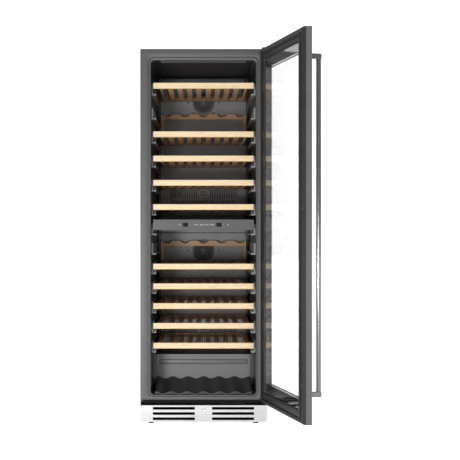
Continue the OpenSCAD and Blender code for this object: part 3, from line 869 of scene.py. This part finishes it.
def raised_rail(name, n):
    """A raised rail on a shelf, with slanted hollows for the bottles' necks."""
    low, high = box_mm(name)
    half, post, bar, top = high.x, 16.0, 28.0, high.z
    spacing, radius, drop = 95.0, 32.0, 35.9
    raised_front, raised_back = 20, 30.2

    def height(x, raised):
        """The rail's top at x; the hollow's centre lies this much above the top."""
        across = (x + 2.5 * spacing) % spacing - spacing / 2
        if abs(across) >= radius:
            return top
        return min(top, top + raised - drop * math.sqrt(1 - (across / radius) ** 2))

    stations = [-half]
    for i in range(-2, 3):
        stations += [i * spacing + 28 * s / 12 for s in range(-12, 13)]
    stations.append(half)
    rail = Shape().sweep([[(x, low.y, top - bar), (x, low.y, height(x, raised_front)),
                           (x, high.y, height(x, raised_back)), (x, high.y, top - bar)]
                          for x in stations])
    rail.piece(name + "_rail", f"sliding_shelf_{n}", "rack_wood", replaces=[name], bevel=0.8)
    posts = Shape().box((half - post, half), (low.y, high.y), (low.z, top - bar)).mirrored()
    posts.piece(name + "_posts", f"sliding_shelf_{n}", "rack_wood", material=POST_WOOD, bevel=1.0)


# ---------------------------------------------------------------- the door, drawn shut

# Rectangles (half width, bottom, top) of the door, the window in its frame and the gasket.
DOOR = (HALF, 105.0, 1763.0)
WINDOW = (HALF - 64, DOOR[1] + 96, DOOR[2] - 96)
SEAL = (274.5, 118.0, 1740.0)
# The depths of the steel's front, and of its fold behind.
FACE = -48.0
FOLD = -21.5


def edge_loop(inset, y, r=1.0):
    """A loop drawn in from the door's edges by the same amount all round."""
    return inset_loop(DOOR, inset, r, y)


def window_loop(more, y, r=0.8):
    """A loop drawn out from the window in the steel frame."""
    return inset_loop(WINDOW, -more, r, y)


def seal_loop(inset, y, r=3.0):
    """A loop drawn in from the gasket's outer edge."""
    return inset_loop(SEAL, inset, r, y)


def door_skin():
    """The door's steel front, folded back round its edges and turned in round the window."""
    rows = [edge_loop(0, FOLD), edge_loop(0, FACE + 1.7), edge_loop(0.4, FACE + 0.6, 1.2),
            edge_loop(1.3, FACE, 1.6), window_loop(0.9, FACE), window_loop(0.2, FACE + 0.3),
            window_loop(0, FACE + 1.0), window_loop(0, FACE + 2.9), window_loop(1.1, FACE + 2.9),
            window_loop(1.2, FACE + 1.2), edge_loop(1.2, FACE + 1.2), edge_loop(1.2, FOLD)]
    skin = Shape().sweep(rows, ring=True)
    made = skin.piece("steel_skin", "door", "stainless", replaces=["door_frame"], swung=True)
    made.data.materials.append(DOOR_EDGE)
    grey_sides(made)


def grey_sides(made):
    """The faces along the skin's folded sides take the mid-grey door_edge material; only its front faces keep the
    stainless.
    """
    outwards = SWING.to_3x3() @ Vector((0, -1, 0))
    for face in made.data.polygons:
        if abs(face.normal.dot(outwards)) < 0.6:
            face.material_index = 1


def door_core():
    """The plastic frame: a stepped side, a flat back with the gasket's channel, and a soft lip."""
    side = [edge_loop(inset, y, 1.2) for inset, y in
            ((1.4, FACE + 1.4), (1.4, -12.8), (2.0, -12.1), (5.0, -12.0), (5.2, -6.5), (5.8, -5.8),
             (6.6, -5.7))]
    channel = [seal_loop(inset, y) for inset, y in
               ((-1, -5.7), (-0.5, -6.1), (-0.4, -8.4), (13.4, -8.4), (13.5, -6.1), (14, -5.7))]
    lip = [edge_loop(inset, y, 1.2) for inset, y in
           ((44, -5.7), (52, -6.0), (56, -7.0), (57.7, -8.6), (58, -11.3), (51.8, -11.3),
            (51.8, FACE + 1.4))]
    core = Shape().sweep(side + channel + lip, ring=True)
    core.piece("door_core", "door", "door_plastic", replaces=["door_inner_frame"], swung=True, smooth=25)


def door_seal():
    """The gasket, with a fold in each side."""
    rows = [(0.3, -8.2), (0.2, -5.6), (1.0, -4.9), (0.2, -3.9), (0.5, -2.2), (1.8, -0.9), (3.6, -0.6),
            (9.4, -0.6), (11.4, -1.0), (12.7, -2.4), (12.4, -4.0), (11.6, -4.9), (12.8, -5.6),
            (12.7, -8.2)]
    seal = Shape().sweep([seal_loop(inset, y) for inset, y in rows], ring=True)
    seal.piece("bellows_seal", "door", "gasket_rubber", replaces=["door_gasket"], swung=True, smooth=50)


def glazing():
    """Two panes with ground edges, and the dark border between them."""
    panes = Shape()
    inset, ground = 52, 0.3
    for y0, y1 in ((FACE + 3.1, FACE + 7), (-15.4, -11.4)):
        panes.sweep([edge_loop(inset + ground, y0, 3), edge_loop(inset, y0 + ground, 3),
                     edge_loop(inset, y1 - ground, 3), edge_loop(inset + ground, y1, 3)])
    panes.piece("glass_panes", "door", "clear_glass", replaces=["door_glass"], swung=True, smooth=20)
    front, rear = FACE + 7.2, -15.6
    inner = [window_loop(-more, y, 2) for more, y in
             ((4, front), (4, front + 5), (2, front + 6), (2, rear - 6), (4, rear - 5), (4, rear))]
    border = Shape().sweep([edge_loop(54, front, 2)] + inner + [edge_loop(54, rear, 2)], ring=True)
    border.piece("border_ring", "door", "glass_border", replaces=["glass_spacer"], swung=True)


def handle():
    """A round tube between two square posts."""
    x, y = -HALF + 28, FACE - 38
    z0, z1, post_h, r = 217.0, 1653.0, 22.5, 10.5
    tube = Shape().lathe((x, y, 0), Z, [(z0 + post_h - 2, r - 0.6), (z0 + post_h + 0.4, r),
                                        (z1 - post_h - 0.4, r), (z1 - post_h + 2, r - 0.6)], 64)
    tube.piece("handle_tube", "door", "handle_steel", replaces=["door_handle"], swung=True)
    posts = Shape()
    for z in (z0, z1 - post_h):
        posts.box((x - r, x + r), (y - r, FACE), (z, z + post_h))
    posts.piece("handle_posts", "door", "handle_steel", swung=True, bevel=1.4, segments=3)


# ---------------------------------------------------------------- the room, lights and camera

def studio():
    """A white floor, the backdrop and two lamps."""
    floor = bpy.data.meshes.new("floor")
    size = 30.0
    floor.from_pydata([(-size, -size, 0), (size, -size, 0), (size, size, 0), (-size, size, 0)], [],
                      [(0, 1, 2, 3)])
    material, shader = new_material("floor_white", 0.9)
    shader.inputs["Base Color"].default_value = (0.9, 0.9, 0.9, 1)
    shader.inputs["Emission Color"].default_value = (1, 1, 1, 1)
    link(material, seen_level(material, 0.55, 1.6), shader.inputs["Emission Strength"])
    floor.materials.append(material)
    ground = bpy.data.objects.new("floor", floor)
    bpy.context.scene.collection.objects.link(ground)
    backdrop()
    area_light("key", (-1.25, -4.2, 0.36), (0.0, 0.3, 1.0), 0.7, 70)
    area_light("fill", (0.5, -4.6, 0.3), (0.0, 0.4, 0.9), 0.6, 20)
    bpy.context.scene.view_settings.view_transform = "Standard"


def seen_level(owner, lit, seen):
    """A strength that differs where it is seen, straight or through glass, and as a light.

    The rays' sum is 0 or 1, outside the span of the noise, so spread gives lit or seen.
    """
    path = node(owner, "ShaderNodeLightPath")
    either = node(owner, "ShaderNodeMath")
    link(owner, path.outputs["Is Camera Ray"], either.inputs[0])
    link(owner, path.outputs["Is Transmission Ray"], either.inputs[1])
    return spread(owner, either.outputs["Value"], lit, seen)


def backdrop():
    """A white room: pure white where it is seen, and much dimmer as a light."""
    world = bpy.data.worlds.new("studio")
    world.use_nodes = True
    back = world.node_tree.nodes["Background"]
    link(world, seen_level(world, 0.34, 1.5), back.inputs["Strength"])
    back.inputs["Color"].default_value = (1, 1, 1, 1)
    bpy.context.scene.world = world


def area_light(name, place, aim, size, power):
    data = bpy.data.lights.new(name, "AREA")
    data.size = size
    data.energy = power
    lamp = bpy.data.objects.new(name, data)
    bpy.context.scene.collection.objects.link(lamp)
    lamp.location = place
    lamp.rotation_euler = (Vector(aim) - Vector(place)).to_track_quat("-Z", "Y").to_euler()


def camera():
    data = bpy.data.cameras.new("camera")
    data.lens = 83.67
    data.sensor_width = 36
    data.shift_x = 0.0576
    data.shift_y = -0.0049
    data.clip_end = 100
    view = bpy.data.objects.new("camera", data)
    bpy.context.scene.collection.objects.link(view)
    view.location = (0, -5.02, 0.925)
    view.rotation_euler = (math.radians(90), 0, 0)
    bpy.context.scene.camera = view


camera()
studio()
shell()
front_frame()
liner()
rear()
grille()
feet()
hinges()
rails()
divider()
controls()
ducts()
tray()
bay_cover()
for number in range(1, 11):
    shelf(number)
raised_rail("display_rack_upper", 2)
raised_rail("display_rack_lower", 6)
door_skin()
door_core()
door_seal()
glazing()
handle()
dress("insulation", "compressor", "condenser", "condenser_fan_rotor", "refrigerant_pipes",
      "cord_gland", "light_bars", "slide_channels")
